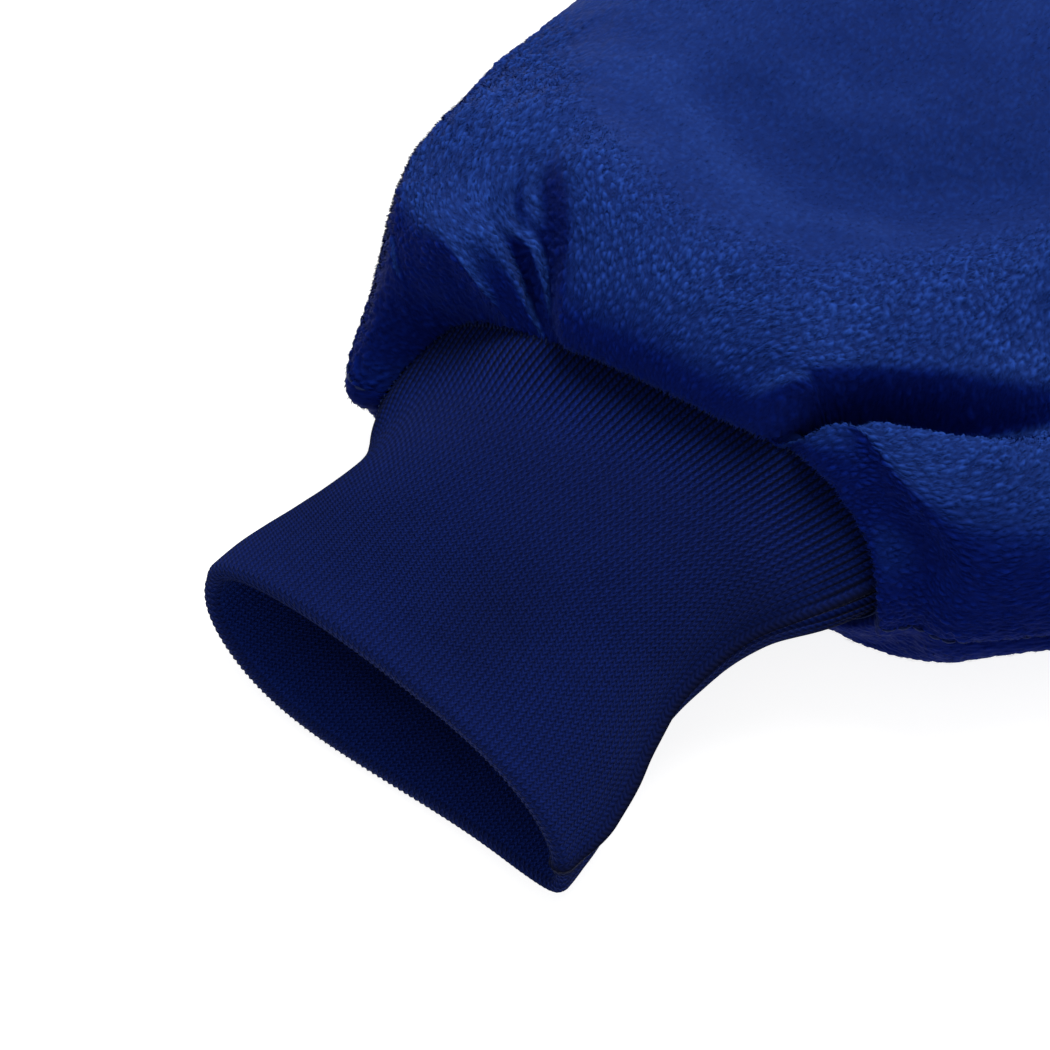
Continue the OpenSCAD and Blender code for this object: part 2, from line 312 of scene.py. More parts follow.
def panel_grid(up, columns, row_gap, far_gap, depth=0.0, sunk=0.0, near_end=150.0, first=0):
    """A panel's outer or inner face as an even grid, finer up to near_end from the seam."""
    rough = softened(body_rows(up, cage_columns, depth, sunk), 8)[first:]
    middle = rough[:, cage_columns // 2]
    run = np.concatenate([[0], np.cumsum(np.linalg.norm(np.diff(middle, axis=0), axis=1))])
    near = np.linspace(0, near_end, int(near_end / row_gap / 4) * 4 + 1)
    far = np.linspace(near_end, run[-1], int((run[-1] - near_end) / far_gap / 4) * 4 + 1)[1:]
    row_at = np.interp(np.concatenate([near, far]), run, np.arange(len(run)))
    return refined(rough, row_at, np.linspace(0, cage_columns - 1, columns))


def made_mesh(name, verts, faces, material, spread):
    """A smooth mesh, in millimetres, from arrays of faces, with spread(faces) as its flat layout."""
    mesh = bpy.data.meshes.new(name)
    corners = np.concatenate([f.reshape(-1) for f in faces])
    sizes = np.concatenate([np.full(len(f), f.shape[1]) for f in faces])
    mesh.vertices.add(len(verts))
    mesh.vertices.foreach_set("co", (verts / 1000).astype(np.float32).reshape(-1))
    mesh.loops.add(len(corners))
    mesh.loops.foreach_set("vertex_index", corners.astype(np.int32))
    mesh.polygons.add(len(sizes))
    mesh.polygons.foreach_set("loop_start", np.concatenate([[0], np.cumsum(sizes)[:-1]]).astype(np.int32))
    mesh.update(calc_edges=True)
    mesh.polygons.foreach_set("use_smooth", [True] * len(sizes))
    layer = mesh.uv_layers.new(name="OFBake")
    layer.data.foreach_set("uv", spread(faces).astype(np.float32).reshape(-1))
    obj = bpy.data.objects.new(name, mesh)
    bpy.context.scene.collection.objects.link(obj)
    mesh.materials.append(material)
    return obj


def tinted(obj, layer_name, values):
    """Stores three numbers a vertex, for the material to read."""
    layer = obj.data.color_attributes.new(layer_name, "FLOAT_COLOR", "POINT")
    rgba = np.ones((len(values), 4), np.float32)
    rgba[:, :3] = values
    layer.data.foreach_set("color", rgba.reshape(-1))


def cloth_mesh(name, outer, inner, up, material):
    """A closed piece between an outer grid and an inner one that is no finer."""
    rows, cols = outer.shape[:2]
    rows_in, cols_in = inner.shape[:2]
    face = np.arange(rows * cols).reshape(rows, cols)
    back = rows * cols + np.arange(rows_in * cols_in).reshape(rows_in, cols_in)
    quads = np.stack([face[:-1, :-1], face[1:, :-1], face[1:, 1:], face[:-1, 1:]], -1).reshape(-1, 4)
    quads_in = np.stack([back[:-1, :-1], back[:-1, 1:], back[1:, 1:], back[1:, :-1]], -1).reshape(-1, 4)
    faces = [quads, quads_in]
    r_step, c_step = (rows - 1) // (rows_in - 1), (cols - 1) // (cols_in - 1)
    edges = ((face[0], back[0], c_step), (face[-1][::-1], back[-1][::-1], c_step),
             (face[::-1, 0], back[::-1, 0], r_step), (face[:, -1], back[:, -1], r_step))
    for edge, edge_in, step in edges:
        ends = np.arange(len(edge_in) - 1)
        fine = edge[ends[:, None] * step + np.arange(step + 1)]
        faces.append(np.concatenate([fine, edge_in[1:, None], edge_in[:-1, None]], 1))
    if not up:
        faces = [f[:, ::-1] for f in faces]

    def laid_flat(across, down, low, high):
        u, v = np.meshgrid(np.linspace(0.005, 0.995, across), np.linspace(low, high, down))
        return np.stack([u, v], -1).reshape(-1, 2)

    def spread(all_faces):
        place = laid_flat(cols, rows, 0.005, 0.8)
        both = np.concatenate([place, laid_flat(cols_in, rows_in, 0.82, 0.995)])
        # The narrow rim takes the outer face's edge.
        beside = place.reshape(rows, cols, 2)[::r_step, ::c_step].reshape(-1, 2)
        rim = np.concatenate([place, beside])
        return np.concatenate([(both if k < 2 else rim)[f.reshape(-1)] for k, f in enumerate(all_faces)])

    verts = np.concatenate([outer.reshape(-1, 3), inner.reshape(-1, 3)])
    return made_mesh(name, verts, faces, material, spread)


def scrambled(cells, salt):
    """A number from 0 to 1 for each whole-numbered cell, the same every run."""
    c = cells.astype(np.int64)
    h = (c[..., 0] * 73856093) ^ (c[..., 1] * 19349663) ^ (c[..., 2] * 83492791) ^ (salt * 2654435761)
    h = (h ^ (h >> 13)) * 1274126177 & 0x7FFFFFFF
    return ((h ^ (h >> 15)) & 0xFFFF) / 65535.0


def tufts(p, lay, width, stretch):
    """The pile's tufts: how far inside its tuft a point is, its offset from the middle, the tuft's number."""
    size = width * 1.25
    base = np.floor(p / size)
    first = np.full(p.shape[:-1], 1e9)
    second = first.copy()
    offset = np.zeros(p.shape)
    number = np.zeros(p.shape[:-1])
    for i in (-1, 0, 1):
        for j in (-1, 0, 1):
            for k in (-1, 0, 1):
                cell = base + np.array([i, j, k])
                middle = (cell + np.stack([scrambled(cell, n) for n in (1, 2, 3)], -1)) * size
                d = p - middle
                along = (d * lay).sum(-1)
                far = np.sqrt(np.maximum((d * d).sum(-1) - (1 - 1 / stretch ** 2) * along ** 2, 0))
                near = far < first
                second = np.where(near, first, np.minimum(second, far))
                first = np.where(near, far, first)
                offset = np.where(near[..., None], d, offset)
                number = np.where(near, scrambled(cell, 4), number)
    return ease((second - first) / (0.55 * width)), offset, number


def slow_noise(p, size, salt=7):
    """Smooth noise from 0 to 1 with features about size across."""
    q = p / size
    base = np.floor(q)
    f = ease(q - base)
    total = 0
    for i in (0, 1):
        for j in (0, 1):
            for k in (0, 1):
                w = np.abs(1 - i - f[..., 0]) * np.abs(1 - j - f[..., 1]) * np.abs(1 - k - f[..., 2])
                total = total + w * scrambled(base + np.array([i, j, k]), salt)
    return total


# The line over the plan where the open pile of the lobes' fronts gives way to smooth ground.
open_edge = np.array([(-90, 0, 0), (-58, -28, 0), (-30, -33, 0), (-11, -31, 0),
                      (6, -25, 0), (21, -2, 0), (36, 22, 0), (93, 40, 0)])


def rough_zone(p, up):
    """How open the pile stands in tufts: fully on the lobes' fronts, and hardly on the smooth ground."""
    if not up:
        return np.full(p.shape[:-1], 0.55)
    dist, _ = from_line(p[..., 0], p[..., 1], open_edge)
    line_y = np.interp(p[..., 0], open_edge[:, 0], open_edge[:, 1])
    behind = np.where(p[..., 1] > line_y, dist, -dist)
    return mixed(1.0, 0.25, ease((behind + 4) / 15) * (1 - 0.55 * ease((p[..., 1] - 55) / 50)))


def flat_out(points):
    """Level directions out from the middle of the body's plan."""
    return unit((points - np.array([0, 30, 0])) * np.array([1, 1, 0]))


def seamed(grid):
    """Draws a panel in along the side seam, where the pile parts over the stitches."""
    gaps = np.linalg.norm(np.diff(grid, axis=1), axis=-1)
    run = np.concatenate([np.zeros((len(grid), 1)), np.cumsum(gaps, axis=1)], 1)
    edge = np.minimum(run, run[:, -1:] - run)
    from_neck = np.cumsum(np.linalg.norm(np.gradient(grid[:, :1], axis=0), axis=-1), axis=0)
    drawn_in = 2.4 * np.exp(-(edge / 2.2) ** 1.5) * ease((from_neck - 14) / 16)
    return grid - flat_out(grid) * drawn_in[..., None]


def pile_face(up, columns, row_gap, far_gap, near_end):
    """A panel's outer face with its tufts raised, and what the pile's fibres need to know of it."""
    smooth = seamed(panel_grid(up, columns, row_gap, far_gap, near_end=near_end))
    n = normals_of(smooth) * (1 if up else -1)
    lay = unit(np.gradient(smooth, axis=0))
    wave = (slow_noise(smooth, 9.0) - 0.5)[..., None] * 0.9
    across = unit(np.cross(n, lay))
    lay = unit(lay + across * wave)
    stand, offset, number = tufts(smooth, lay, tuft_w, tuft_stretch)
    zone = rough_zone(smooth, up) * (0.75 + 0.5 * slow_noise(smooth, 6.0, 11))
    slant = (offset * lay).sum(-1)
    height = (stand * (0.75 + 0.25 * number) - 0.5 + 0.12 * np.clip(-slant, -1.5, 1.5)) * 0.72 * zone
    broad = (slow_noise(smooth, 4.5, 5) - 0.5) * 0.5
    face = smooth + n * (height + broad)[..., None]
    face[..., 2] = np.maximum(face[..., 2], 0.0)
    return smooth, face, n, lay, stand, zone


def painted_shade_away_from_lamp(n):
    """How far the pile faces down and away from the overhead lamp, from 0 to 1: the colour darkens with it as
    painted shade.
    """
    toward_lamp = unit(np.array([-0.15, 0.45, 0.88]))
    return ease((0.85 - n @ toward_lamp) / 0.62)


def pile_look(n, stand, zone, p):
    """Three numbers for the colour: how open the pile is, which paints shade between the tufts; how far it
    faces away, as painted shade; and its slow variation, with painted light on the valley.
    """
    away = painted_shade_away_from_lamp(n)
    # Painted light and shade: a highlight along the valley's rim and shade in the valley, and the colour
    # darker further back, on the higher cloth only.
    rim = np.exp(-(from_line(p[..., 0], p[..., 1], valley_rim)[0] / 6) ** 2)
    low = np.exp(-(from_line(p[..., 0], p[..., 1], valley)[0] / 14) ** 2)
    low = low + 0.5 * ease((p[..., 1] - 15) / 25)
    tone = np.clip(slow_noise(p, 14.0, 9) + (0.6 * rim - 0.8 * low) * ease((p[..., 2] - 40) / 10), 0, 1)
    return np.stack([mixed(mixed(0.06, stand, zone), 0.6, 0.5 * away), away, tone], -1)


def fibres(name, parts, count, keep, material, width, length, seed):
    """Short tapered fibres rooted in the pile, lying toward the neck, their tips drawn together by tufts."""
    smooth, face, n, lay, stand, zone = parts
    rng = np.random.default_rng(seed)
    a = smooth[1:, :-1] - smooth[:-1, :-1]
    b = smooth[:-1, 1:] - smooth[:-1, :-1]
    area = np.linalg.norm(np.cross(a, b), axis=-1) * keep(smooth[:-1, :-1])
    area = area * mixed(0.1, 1, ease((zone[:-1, :-1] - 0.28) / 0.4))
    share = np.cumsum(area.reshape(-1))
    pick = np.searchsorted(share, rng.random(count) * share[-1])
    row, col = np.divmod(pick, smooth.shape[1] - 1)
    f, g = rng.random((count, 1)), rng.random((count, 1))

    def at(grid):
        left = grid[row, col] * (1 - f) + grid[row + 1, col] * f
        right = grid[row, col + 1] * (1 - f) + grid[row + 1, col + 1] * f
        return left * (1 - g) + right * g

    root, up_n, lie = at(face), unit(at(n)), unit(at(lay))
    _, offset, number = tufts(root, lie, tuft_w, tuft_stretch)
    side_offset = offset - lie * (offset * lie).sum(-1, keepdims=True)
    side_offset = side_offset - up_n * (offset * up_n).sum(-1, keepdims=True)
    open_pile = at(zone[..., None])
    lean = mixed(0.7, 1.1, rng.random((count, 1)))
    stray = rng.normal(0, 0.14, (count, 3)) * mixed(0.5, 1, open_pile)
    way = unit(-lie * lean + up_n * mixed(0.08, 0.5, open_pile) + stray)
    far = length * mixed(0.6, 1.15, rng.random((count, 1)))
    tip = root + way * far - side_offset * 0.55 * open_pile - lie * 0.15 * far
    middle = mixed(root, tip, 0.5) + up_n * 0.1 * far
    root = root - up_n * 0.2
    flat = unit(np.cross(tip - root, up_n)) * width / 2
    verts = np.stack([root - flat, root + flat, middle + flat * 0.85, middle - flat * 0.85, tip], 1)
    verts[..., 2] = np.maximum(verts[..., 2], 0.05)
    start = np.arange(count)[:, None] * 5
    # A fibre is one four-sided face and a triangle at its tip, both facing away from the cloth.
    quads = start + np.array([0, 1, 2, 3])
    tris = start + np.array([3, 2, 4])

    def spread(all_faces):
        n_side = int(math.ceil(math.sqrt(count)))
        cell = np.stack([np.arange(count) % n_side, np.arange(count) // n_side], -1) / n_side
        corner = np.array([(0.1, 0.1), (0.9, 0.1), (0.9, 0.5), (0.1, 0.5), (0.5, 0.9)]) / n_side
        place = (cell[:, None] + corner[None]).reshape(-1, 2)
        return np.concatenate([place[f.reshape(-1)] for f in all_faces])

    obj = made_mesh(name, verts.reshape(-1, 3), [quads, tris], material, spread)
    shading = unit(up_n * 0.85 + unit(up_n + way) * 0.25 + side_offset * 0.35)
    obj.data.normals_split_custom_set_from_vertices(np.repeat(shading, 5, axis=0).tolist())
    # The fibres' colour: painted shade toward their roots and where they face away from the lamp, and a
    # random tone.
    away = painted_shade_away_from_lamp(up_n)
    tone = slow_noise(root, 14.0, 9) * 0.5 + number * 0.5
    tips = np.tile([0.3, 0.3, 0.8, 0.8, 1.0], (count, 1)) * mixed(0.8, 1, number)[:, None]
    look = np.stack([mixed(0.2, tips, ease((open_pile - 0.25) / 0.5)),
                     np.repeat(away[:, None], 5, 1), np.repeat(tone[:, None], 5, 1)], -1)
    tinted(obj, "pile", look.reshape(-1, 3))
    return obj


def new_material(name):
    """A material, its nodes, its links and its Principled node."""
    m = bpy.data.materials.new(name)
    m.use_nodes = True
    return m, m.node_tree.nodes, m.node_tree.links, m.node_tree.nodes["Principled BSDF"]


def stored_look(nodes, links, layer_name):
    """The three numbers a vertex that tinted() stored."""
    look = nodes.new("ShaderNodeAttribute")
    look.attribute_name = layer_name
    parts = nodes.new("ShaderNodeSeparateColor")
    links.new(look.outputs["Color"], parts.inputs["Color"])
    return parts.outputs


def fine_noise(nodes, links, scale, detail):
    """Noise through the piece's own space, and that space."""
    space = nodes.new("ShaderNodeTexCoord").outputs["Object"]
    noise = nodes.new("ShaderNodeTexNoise")
    noise.inputs["Scale"].default_value = scale
    noise.inputs["Detail"].default_value = detail
    links.new(space, noise.inputs["Vector"])
    return noise.outputs["Fac"], space


def ranged(nodes, links, value, low, high):
    """A value from 0 to 1 as one from low to high."""
    node = nodes.new("ShaderNodeMapRange")
    links.new(value, node.inputs["Value"])
    node.inputs["To Min"].default_value = low
    node.inputs["To Max"].default_value = high
    return node.outputs["Result"]


def bumped(nodes, links, bsdf, height, strength, distance):
    bump = nodes.new("ShaderNodeBump")
    bump.inputs["Strength"].default_value = strength
    bump.inputs["Distance"].default_value = distance
    links.new(height, bump.inputs["Height"])
    links.new(bump.outputs["Normal"], bsdf.inputs["Normal"])


def plush_material(name):
    """Dyed polyester pile, softly shining, with painted light and shade: deep between the tufts and where it
    faces away, paler above.
    """
    m, nodes, links, bsdf = new_material(name)
    parts = stored_look(nodes, links, "pile")
    speck, _ = fine_noise(nodes, links, 900, 2)

    def blended(kind, factor, a, b):
        mix = nodes.new("ShaderNodeMix")
        mix.data_type = "RGBA"
        mix.blend_type = kind
        for socket, value in ((mix.inputs["Factor"], factor), (mix.inputs["A"], a), (mix.inputs["B"], b)):
            if isinstance(value, (int, float)):
                socket.default_value = value
            elif isinstance(value, tuple):
                socket.default_value = (*value, 1)
            else:
                links.new(value, socket)
        return mix.outputs["Result"]

    # Blue lifts the colour with the slow variation and the painted highlight, Green pulls it deep blue as
    # painted shade, Red darkens it between the tufts as painted shade.
    top = blended("MIX", parts["Blue"], (0.008, 0.036, 0.220), (0.015, 0.055, 0.290))
    turned = blended("MIX", parts["Green"], top, (0.0002, 0.0085, 0.135))
    painted_tuft_shade = blended("MIX", parts["Red"], (0.34, 0.34, 0.40), (1.08, 1.08, 1.08))
    turned = blended("MULTIPLY", 1.0, turned, painted_tuft_shade)
    final = blended("MULTIPLY", 1.0, turned, ranged(nodes, links, speck, 0.72, 1.28))
    links.new(final, bsdf.inputs["Base Color"])
    links.new(ranged(nodes, links, speck, 0.62, 0.85), bsdf.inputs["Roughness"])
    bumped(nodes, links, bsdf, speck, 0.5, 0.0003)
    bsdf.inputs["Specular IOR Level"].default_value = 0.04
    bsdf.inputs["Sheen Weight"].default_value = 0.06
    bsdf.inputs["Sheen Roughness"].default_value = 0.45
    bsdf.inputs["Sheen Tint"].default_value = (0.30, 0.45, 1.0, 1)
    return m


plush_pile = plush_material("plush_pile")


def plush_panel(name, node, up, parts, inner):
    """A panel of plush with its colours, as a piece that replaces its node."""
    smooth, face, n, _, stand, zone = parts
    panel = cloth_mesh(name, face, inner, up, plush_pile)
    outside = pile_look(n, stand, zone, smooth).reshape(-1, 3)
    # The hidden inner face takes fixed numbers: darker, with half the painted shade.
    within = np.tile([0.2, 0.5, 0.5], (inner.shape[0] * inner.shape[1], 1))
    tinted(panel, "pile", np.concatenate([outside, within]))
    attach(panel, "root")
    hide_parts(node)


back_parts = pile_face(True, columns=513, row_gap=0.5, far_gap=1.0, near_end=120.0)
back_inner = panel_grid(True, 129, 2.0, 4.0, ground_t, ground_sunk, near_end=120.0)
plush_panel("back_plush_cloth", "back_plush", True, back_parts, back_inner)
palm_parts = pile_face(False, columns=385, row_gap=0.8, far_gap=1.2, near_end=96.0)
palm_inner = panel_grid(False, 97, 3.2, 4.8, ground_t, ground_sunk, near_end=96.0)
plush_panel("palm_plush_cloth", "palm_plush", False, palm_parts, palm_inner)


def toward_front(p):
    return 1 - ease((p[..., 1] - 50) / 25)


def toward_rear(p):
    return 1.0 - toward_front(p)


def off_the_table(p):
    return np.where(p[..., 2] < 1.0, 0.15, 1.0)


for name, parts, count, keep, width, seed in (
        ("back_pile_front", back_parts, 52000, toward_front, 0.12, 3),
        ("back_pile_rear", back_parts, 24000, toward_rear, 0.2, 4),
        ("palm_pile", palm_parts, 30000, off_the_table, 0.2, 5)):
    tuft_set = fibres(name, parts, count, keep, plush_pile, width, fibre_len, seed)
    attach(tuft_set, "root")

# ---- Wadding ----
# A thin pad of bonded polyester wadding under each plush panel, which keeps the body puffed.
# Each pad starts a little behind the neck seam, hidden under the roll of the lobes.
hidden_rows = 30


def cloth_finish(name, dark, pale, scale, rough_low, rough_high, bump_depth, weave):
    """A plain cloth: tone and roughness from noise, and relief from noise or, if woven, crossed threads."""
    m, nodes, links, bsdf = new_material(name)
    grain, space = fine_noise(nodes, links, scale, 4)
    height = grain
    if weave:
        threads = []
        for direction in ("X", "Y"):
            wave = nodes.new("ShaderNodeTexWave")
            wave.bands_direction = direction
            wave.inputs["Scale"].default_value = weave
            links.new(space, wave.inputs["Vector"])
            threads.append(wave.outputs["Fac"])
        crossed = nodes.new("ShaderNodeMath")
        crossed.operation = "MULTIPLY"
        links.new(threads[0], crossed.inputs[0])
        links.new(threads[1], crossed.inputs[1])
        height = crossed.outputs[0]
    colour = nodes.new("ShaderNodeMix")
    colour.data_type = "RGBA"
    links.new(grain, colour.inputs["Factor"])
    colour.inputs["A"].default_value = (*dark, 1)
    colour.inputs["B"].default_value = (*pale, 1)
    links.new(colour.outputs["Result"], bsdf.inputs["Base Color"])
    links.new(ranged(nodes, links, grain, rough_low, rough_high), bsdf.inputs["Roughness"])
    bumped(nodes, links, bsdf, height, 1.0, bump_depth)
    bsdf.inputs["Specular IOR Level"].default_value = 0.12
    return m


wadding = cloth_finish("bonded_wadding", (0.55, 0.55, 0.53), (0.78, 0.78, 0.76), scale=500,
                       rough_low=0.8, rough_high=0.95, bump_depth=0.0006, weave=0)
for name, up in (("back_wadding", True), ("palm_wadding", False)):
    face = panel_grid(up, 129, 2.0, 3.0, depth=8.2, sunk=4.4, first=hidden_rows)
    under = panel_grid(up, 129, 2.0, 3.0, depth=11.2, sunk=6.8, first=hidden_rows)
    fluff = (slow_noise(face, 7.0, 31) - 0.5)[..., None] * 0.5
    pad = cloth_mesh(name + "_pad", face + normals_of(face) * fluff, under, up, wadding)
    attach(pad, "root")
    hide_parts(name)

# ---- Lining ----
# A bag of smooth woven polyester, two panels seamed round the edge, in which the hand slides.
# It lies inside the wadding and, like it, starts a little behind the neck seam.
lining = cloth_finish("lining_weave", (0.004, 0.012, 0.07), (0.007, 0.020, 0.10), scale=120,
                      rough_low=0.38, rough_high=0.5, bump_depth=0.0002, weave=160)
for name, up in (("back_lining", True), ("palm_lining", False)):
    face = panel_grid(up, 129, 2.0, 3.0, depth=12.4, sunk=7.8, first=hidden_rows)
    under = panel_grid(up, 129, 2.0, 3.0, depth=13.2, sunk=8.6, first=hidden_rows)
    bag = cloth_mesh(name + "_cloth", face, under, up, lining)
    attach(bag, "root")
    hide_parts(name)
    if up:
        lining_edges = np.concatenate([face[:, 0], face[::-1, -1]])

# ---- Rib cuff ----
# A tube of 1x1 rib knit in polyester and elastane, folded double at the mouth.
# Its raw edges are sewn in at the neck seam, which stretches the ribs apart.
mouth_w, waist_w, neck_w = 98.0, 78.0, 94.0
mouth_h, mouth_z = 31.0, 15.5
cuff_len = 70.0
rib_t, leg_gap = 1.5, 0.9
wales, steps = 160, 7
ring_count = wales * steps
wale_w, stitch_h = 1.44, 0.85
seam_at, seam_w = 5.5, 1.3


def cuff_row(t, inset, half_count):
    """One ring of the cuff, from the mouth (t = 0) to the neck (t = 1), inset under its outer face."""
    turn = np.linspace(0, math.pi, 181)
    half_w = mixed(mixed(mouth_w, waist_w, ease(t / 0.8)), neck_w, ease((t - 0.6) / 0.4)) / 2
    u = min(1.0, t)
    halves = []
    for up in (True, False):
        c = np.sign(np.cos(turn)) * np.abs(np.cos(turn)) ** (2 / cloth_square)
        s = np.abs(np.sin(turn)) ** (2 / cloth_square) * (1 if up else -1)
        x = (half_w - inset) * c
        widened = mixed(1, neck_right, ease((t - 0.4) / 0.6))
        waisted = 0.12 * math.exp(-((t - 0.42) / 0.24) ** 2)
        x = np.where(x > 0, x * (widened - waisted - 0.055 * (1 - ease(t / 0.4))), x)
        # The upper lip lies back, and the lower lip sticks out at the left.
        lip = (4.6 + 0.03 * x if up else 7.0 * (1 - ease((x + 36) / 68))) * s * (1 - ease(t / 0.6))
        y = mouth_y + 6.6 + t * (cuff_len - 1.6) + x * mixed(0.022, neck_lean, ease(u * 1.1)) + lip
        # At the mouth the right end has sunk toward the table.
        side = mixed(mouth_z - 6 * ease(x / 45), neck_z, ease(u))
        top = mixed(mouth_h, neck_z + neck_half_h, ease(u))
        low = mixed(0.0, neck_z - neck_half_h, ease(u))
        z = side + (top - side if up else side - low) * s - inset * s
        y = y + neck_push(x + cuff_x, z) * ease((t - 0.35) / 0.65)
        points = np.stack([x + cuff_x, y, z], -1)
        if not up:
            points = points[::-1]
        run = np.concatenate([[0], np.cumsum(np.linalg.norm(np.diff(points[:, ::2], axis=0), axis=1))])
        at = np.linspace(0, run[-1], half_count + 1)[:-1]
        halves.append(np.stack([np.interp(at, run, points[:, k]) for k in range(3)], -1))
    return np.concatenate(halves)


def wrapped_normals(grid):
    """Outward normals of a tube of rings."""
    round_it = np.roll(grid, -1, axis=1) - np.roll(grid, 1, axis=1)
    return unit(np.cross(round_it, np.gradient(grid, axis=0)))


leg_rows = np.linspace(0, 1.06, 118)
outer_leg = np.array([cuff_row(t, 0.0, ring_count // 2) for t in leg_rows])
inner_leg = np.array([cuff_row(t, 2 * rib_t + leg_gap, ring_count // 2) for t in leg_rows])
fold = [mixed(inner_leg[0], outer_leg[0], (1 - math.cos(k)) / 2) - np.array([0, 1.9 * math.sin(k), 0])
        for k in np.linspace(0, math.pi, 9)[1:-1]]
knit = np.concatenate([inner_leg[::-1], np.array(fold), outer_leg])
knit_t = np.concatenate([leg_rows[::-1], np.zeros(len(fold)), leg_rows])
knit_out = wrapped_normals(knit)
# Each wale is a rounded ridge; the gaps open where the knit is stretched on to the neck seam.
phase = np.arange(ring_count) / steps
bow = np.abs((phase % 1) - 0.5) * 2
stretch = ease((knit_t - 0.70) / 0.16)[:, None]
rib_depth = mixed(0.28, 0.65, stretch)
rib = mixed(np.sqrt(np.maximum(0, 1 - bow ** 2.4)), ease((0.78 - bow) / 0.34), stretch)
# The closing seam is a channel down the right edge, with the knit standing out in a fold beside it.
across = ((np.arange(ring_count) + ring_count // 2) % ring_count - ring_count // 2)[None, :] * wale_w / steps
seam_line = np.exp(-((across - seam_at) / seam_w) ** 2)
channel = 2.6 * seam_line - 2.6 * np.exp(-((across - 1.5) / 2.6) ** 2)
channel = channel * mixed(0.25, 1, ease(knit_t / 0.15))[:, None]
relief = ((rib - 1) * rib_depth - channel)[..., None]
waves = (slow_noise(knit, 16.0, 21) - 0.5)[..., None] + (slow_noise(knit, 6.0, 22) - 0.5)[..., None] * 0.3
knit = knit + knit_out * relief + knit_out * waves * ease(knit_t / 0.2)[:, None, None]
knit[..., 2] = np.maximum(knit[..., 2], 0.05)


def tube_faces(rows, columns):
    """The four-sided faces of a tube of rings."""
    index = np.arange(rows * columns).reshape(rows, columns)
    right = np.roll(index, -1, axis=1)
    return np.stack([index[:-1], right[:-1], right[1:], index[1:]], -1).reshape(-1, 4)


def knit_spread(all_faces):
    """The tube's flat layout, slit along the ring's first point."""
    rows, cols = len(knit), ring_count
    column, row = np.meshgrid(np.arange(cols), np.arange(rows - 1))
    u0, u1 = column / cols, (column + 1) / cols
    v0, v1 = row / (rows - 1), (row + 1) / (rows - 1)
    return np.stack([u0, v0, u1, v0, u1, v1, u0, v1], -1).reshape(-1, 2)


def knit_material():
    """Navy rib knit: V-shaped stitches up each wale, painted shade between the ribs and in the stitches'
    hollows, faintly fuzzy.
    """
    m, nodes, links, bsdf = new_material("navy_rib_knit")

    def worked(kind, a, b=None, c=None):
        node = nodes.new("ShaderNodeMath")
        node.operation = kind
        for k, value in enumerate((a, b, c)):
            if value is None:
                continue
            if isinstance(value, (int, float)):
                node.inputs[k].default_value = value
            else:
                links.new(value, node.inputs[k])
        return node.outputs[0]

    layout = nodes.new("ShaderNodeUVMap")
    layout.uv_map = "OFBake"
    apart = nodes.new("ShaderNodeSeparateXYZ")
    links.new(layout.outputs["UV"], apart.inputs["Vector"])
    wale = worked("FRACT", worked("MULTIPLY", apart.outputs["X"], wales))
    middle = worked("ABSOLUTE", worked("SUBTRACT", wale, 0.5))
    slope = worked("MULTIPLY", middle, -1.6)
    course = worked("MULTIPLY_ADD", apart.outputs["Y"], 2 * cuff_len / stitch_h, slope)
    loop = worked("MULTIPLY_ADD", worked("SINE", worked("MULTIPLY", course, 2 * math.pi)), 0.5, 0.5)
    relief_shade = stored_look(nodes, links, "rib")["Red"]
    fuzz, _ = fine_noise(nodes, links, 1400, 3)
    height = worked("MULTIPLY_ADD", loop, 0.45, worked("MULTIPLY", fuzz, 0.9))
    bumped(nodes, links, bsdf, height, 0.9, 0.0004)
    # The stored painted light and shade, times the stitch relief's height, which paints shade in its hollows.
    tone = worked("MULTIPLY", relief_shade, worked("MULTIPLY_ADD", height, 0.56, 0.06))
    colour = nodes.new("ShaderNodeMix")
    colour.data_type = "RGBA"
    links.new(tone, colour.inputs["Factor"])
    colour.inputs["A"].default_value = (0.0003, 0.0010, 0.010, 1)
    colour.inputs["B"].default_value = (0.0050, 0.0190, 0.168, 1)
    links.new(colour.outputs["Result"], bsdf.inputs["Base Color"])
    links.new(worked("MULTIPLY_ADD", fuzz, 0.25, 0.62), bsdf.inputs["Roughness"])
    bsdf.inputs["Specular IOR Level"].default_value = 0.05
    bsdf.inputs["Sheen Weight"].default_value = 0.03
    bsdf.inputs["Sheen Roughness"].default_value = 0.5
    bsdf.inputs["Sheen Tint"].default_value = (0.45, 0.6, 1.0, 1)
    return m


knit_faces = tube_faces(len(knit), ring_count)
cuff = made_mesh("rib_cuff_knit", knit.reshape(-1, 3), [knit_faces], knit_material(), knit_spread)
# Painted shade darkens the gaps and the seam's channel, and the inner leg quickly behind the mouth; painted
# light brightens the stretched ribs and the inner leg at the lip.
shade = mixed(mixed(0.42, 0.0, stretch), mixed(1.0, 1.9, stretch), rib) * (1 - 0.95 * seam_line)
on_inner_leg = np.arange(len(knit)) < len(leg_rows)
inside = np.where(on_inner_leg, mixed(2.0, 0.4, ease(knit_t / 0.42)), 1)
shade = shade * mixed(0.8, 1.1, slow_noise(knit, 18.0, 23)) * inside[:, None]
tinted(cuff, "rib", np.stack([shade, shade, shade], -1).reshape(-1, 3))
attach(cuff, "root")
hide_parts("rib_cuff")

# ---- Seam stitches ----
# Polyester thread: lockstitch rows in the side seam, the lining's seam and the cuff's closing seam, and an
# overlock row over the neck seam. Each stitch is a short bowed length of thread that dips into the cloth.
thread_d, stitch_len, stitch_gap = 0.5, 2.6, 0.5
thread = cloth_finish("polyester_thread", (0.002, 0.007, 0.045), (0.006, 0.018, 0.095), scale=2500,
                      rough_low=0.45, rough_high=0.65, bump_depth=0.0001, weave=0)


